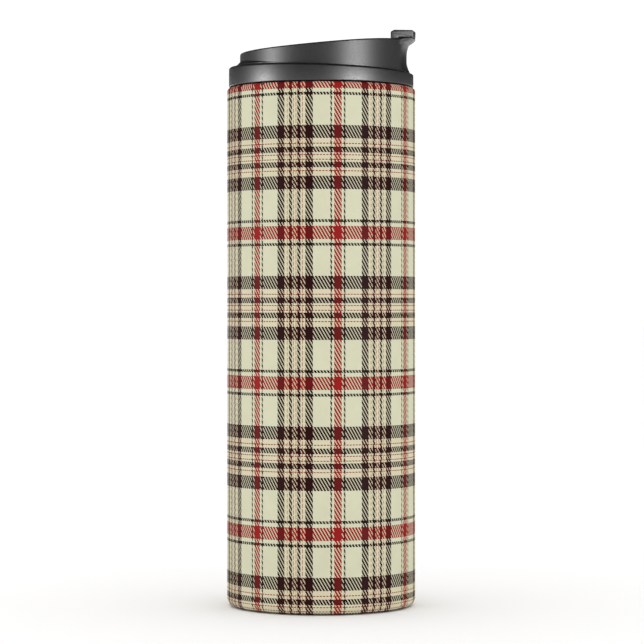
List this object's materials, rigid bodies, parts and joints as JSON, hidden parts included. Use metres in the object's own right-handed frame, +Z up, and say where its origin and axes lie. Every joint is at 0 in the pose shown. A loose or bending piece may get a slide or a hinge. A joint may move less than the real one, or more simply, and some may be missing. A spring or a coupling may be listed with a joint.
{
  "type": "vacuum flask",
  "caption": "Tall straight double-wall steel travel flask with a screw-on drinking lid, a flip-up cap with a thumb tab, and an all-over woven-check print.",
  "frame": {"origin": "centre of the foot ring, on the surface that the flask stands on", "axes": "+Z up along the flask's axis, +X towards the drinking side and the thumb tab"},
  "size_m": [0.0701, 0.07, 0.213],
  "materials": {
    "printed_coating": "satin printed coating on stainless steel, woven check",
    "base_steel": "pressed stainless steel",
    "cover_steel": "circular brushed stainless steel",
    "liner_steel": "electropolished stainless steel",
    "pin_steel": "drawn stainless steel wire",
    "solder_glass": "glossy glass solder bead",
    "getter_metal": "sintered matt metal",
    "copper_foil": "bright copper foil",
    "satin_black": "fine-grained satin black moulded polypropylene",
    "inner_black": "smooth black moulded polypropylene",
    "white_foam": "expanded bead foam",
    "seal_silicone": "matt dark grey silicone"
  },
  "bodies": {
    "flask": {"outer_shell": "printed_coating", "outer_base": "base_steel", "base_cover": "cover_steel", "vacuum_seal": "solder_glass", "getter_holder": "base_steel", "getter_pellet": "getter_metal", "inner_liner": "liner_steel", "liner_base": "liner_steel", "radiation_foil": "copper_foil"},
    "lid_seal": {"lid_gasket": "seal_silicone"},
    "lid": {"lid_collar": "satin_black", "lid_plug": "inner_black", "lid_insulation": "white_foam", "lid_top": "satin_black", "lid_top_seal": "seal_silicone", "duct_seal": "seal_silicone", "hinge_pin": "pin_steel"},
    "cap": {"flip_cap": "satin_black", "spout_seal": "seal_silicone", "vent_seal": "seal_silicone"}
  },
  "joints": [
    {"name": "lid_lift", "type": "slide", "parent": "flask", "child": "lid_seal", "axis": [0, 0, 1], "range_m": [0, 0.01601]},
    {"name": "lid_turn", "type": "hinge", "parent": "lid_seal", "child": "lid", "pos_m": [0, 0, 0.192], "axis": [0, 0, 1], "range_deg": [0, 720]},
    {"name": "cap_flip", "type": "hinge", "parent": "lid", "child": "cap", "pos_m": [-0.008, 0, 0.205], "axis": [0, -1, 0], "range_deg": [0, 110]}
  ],
  "couplings": [
    {"joint": "lid_lift", "follows": "lid_turn", "m_per_rad": 0.0012732}
  ]
}
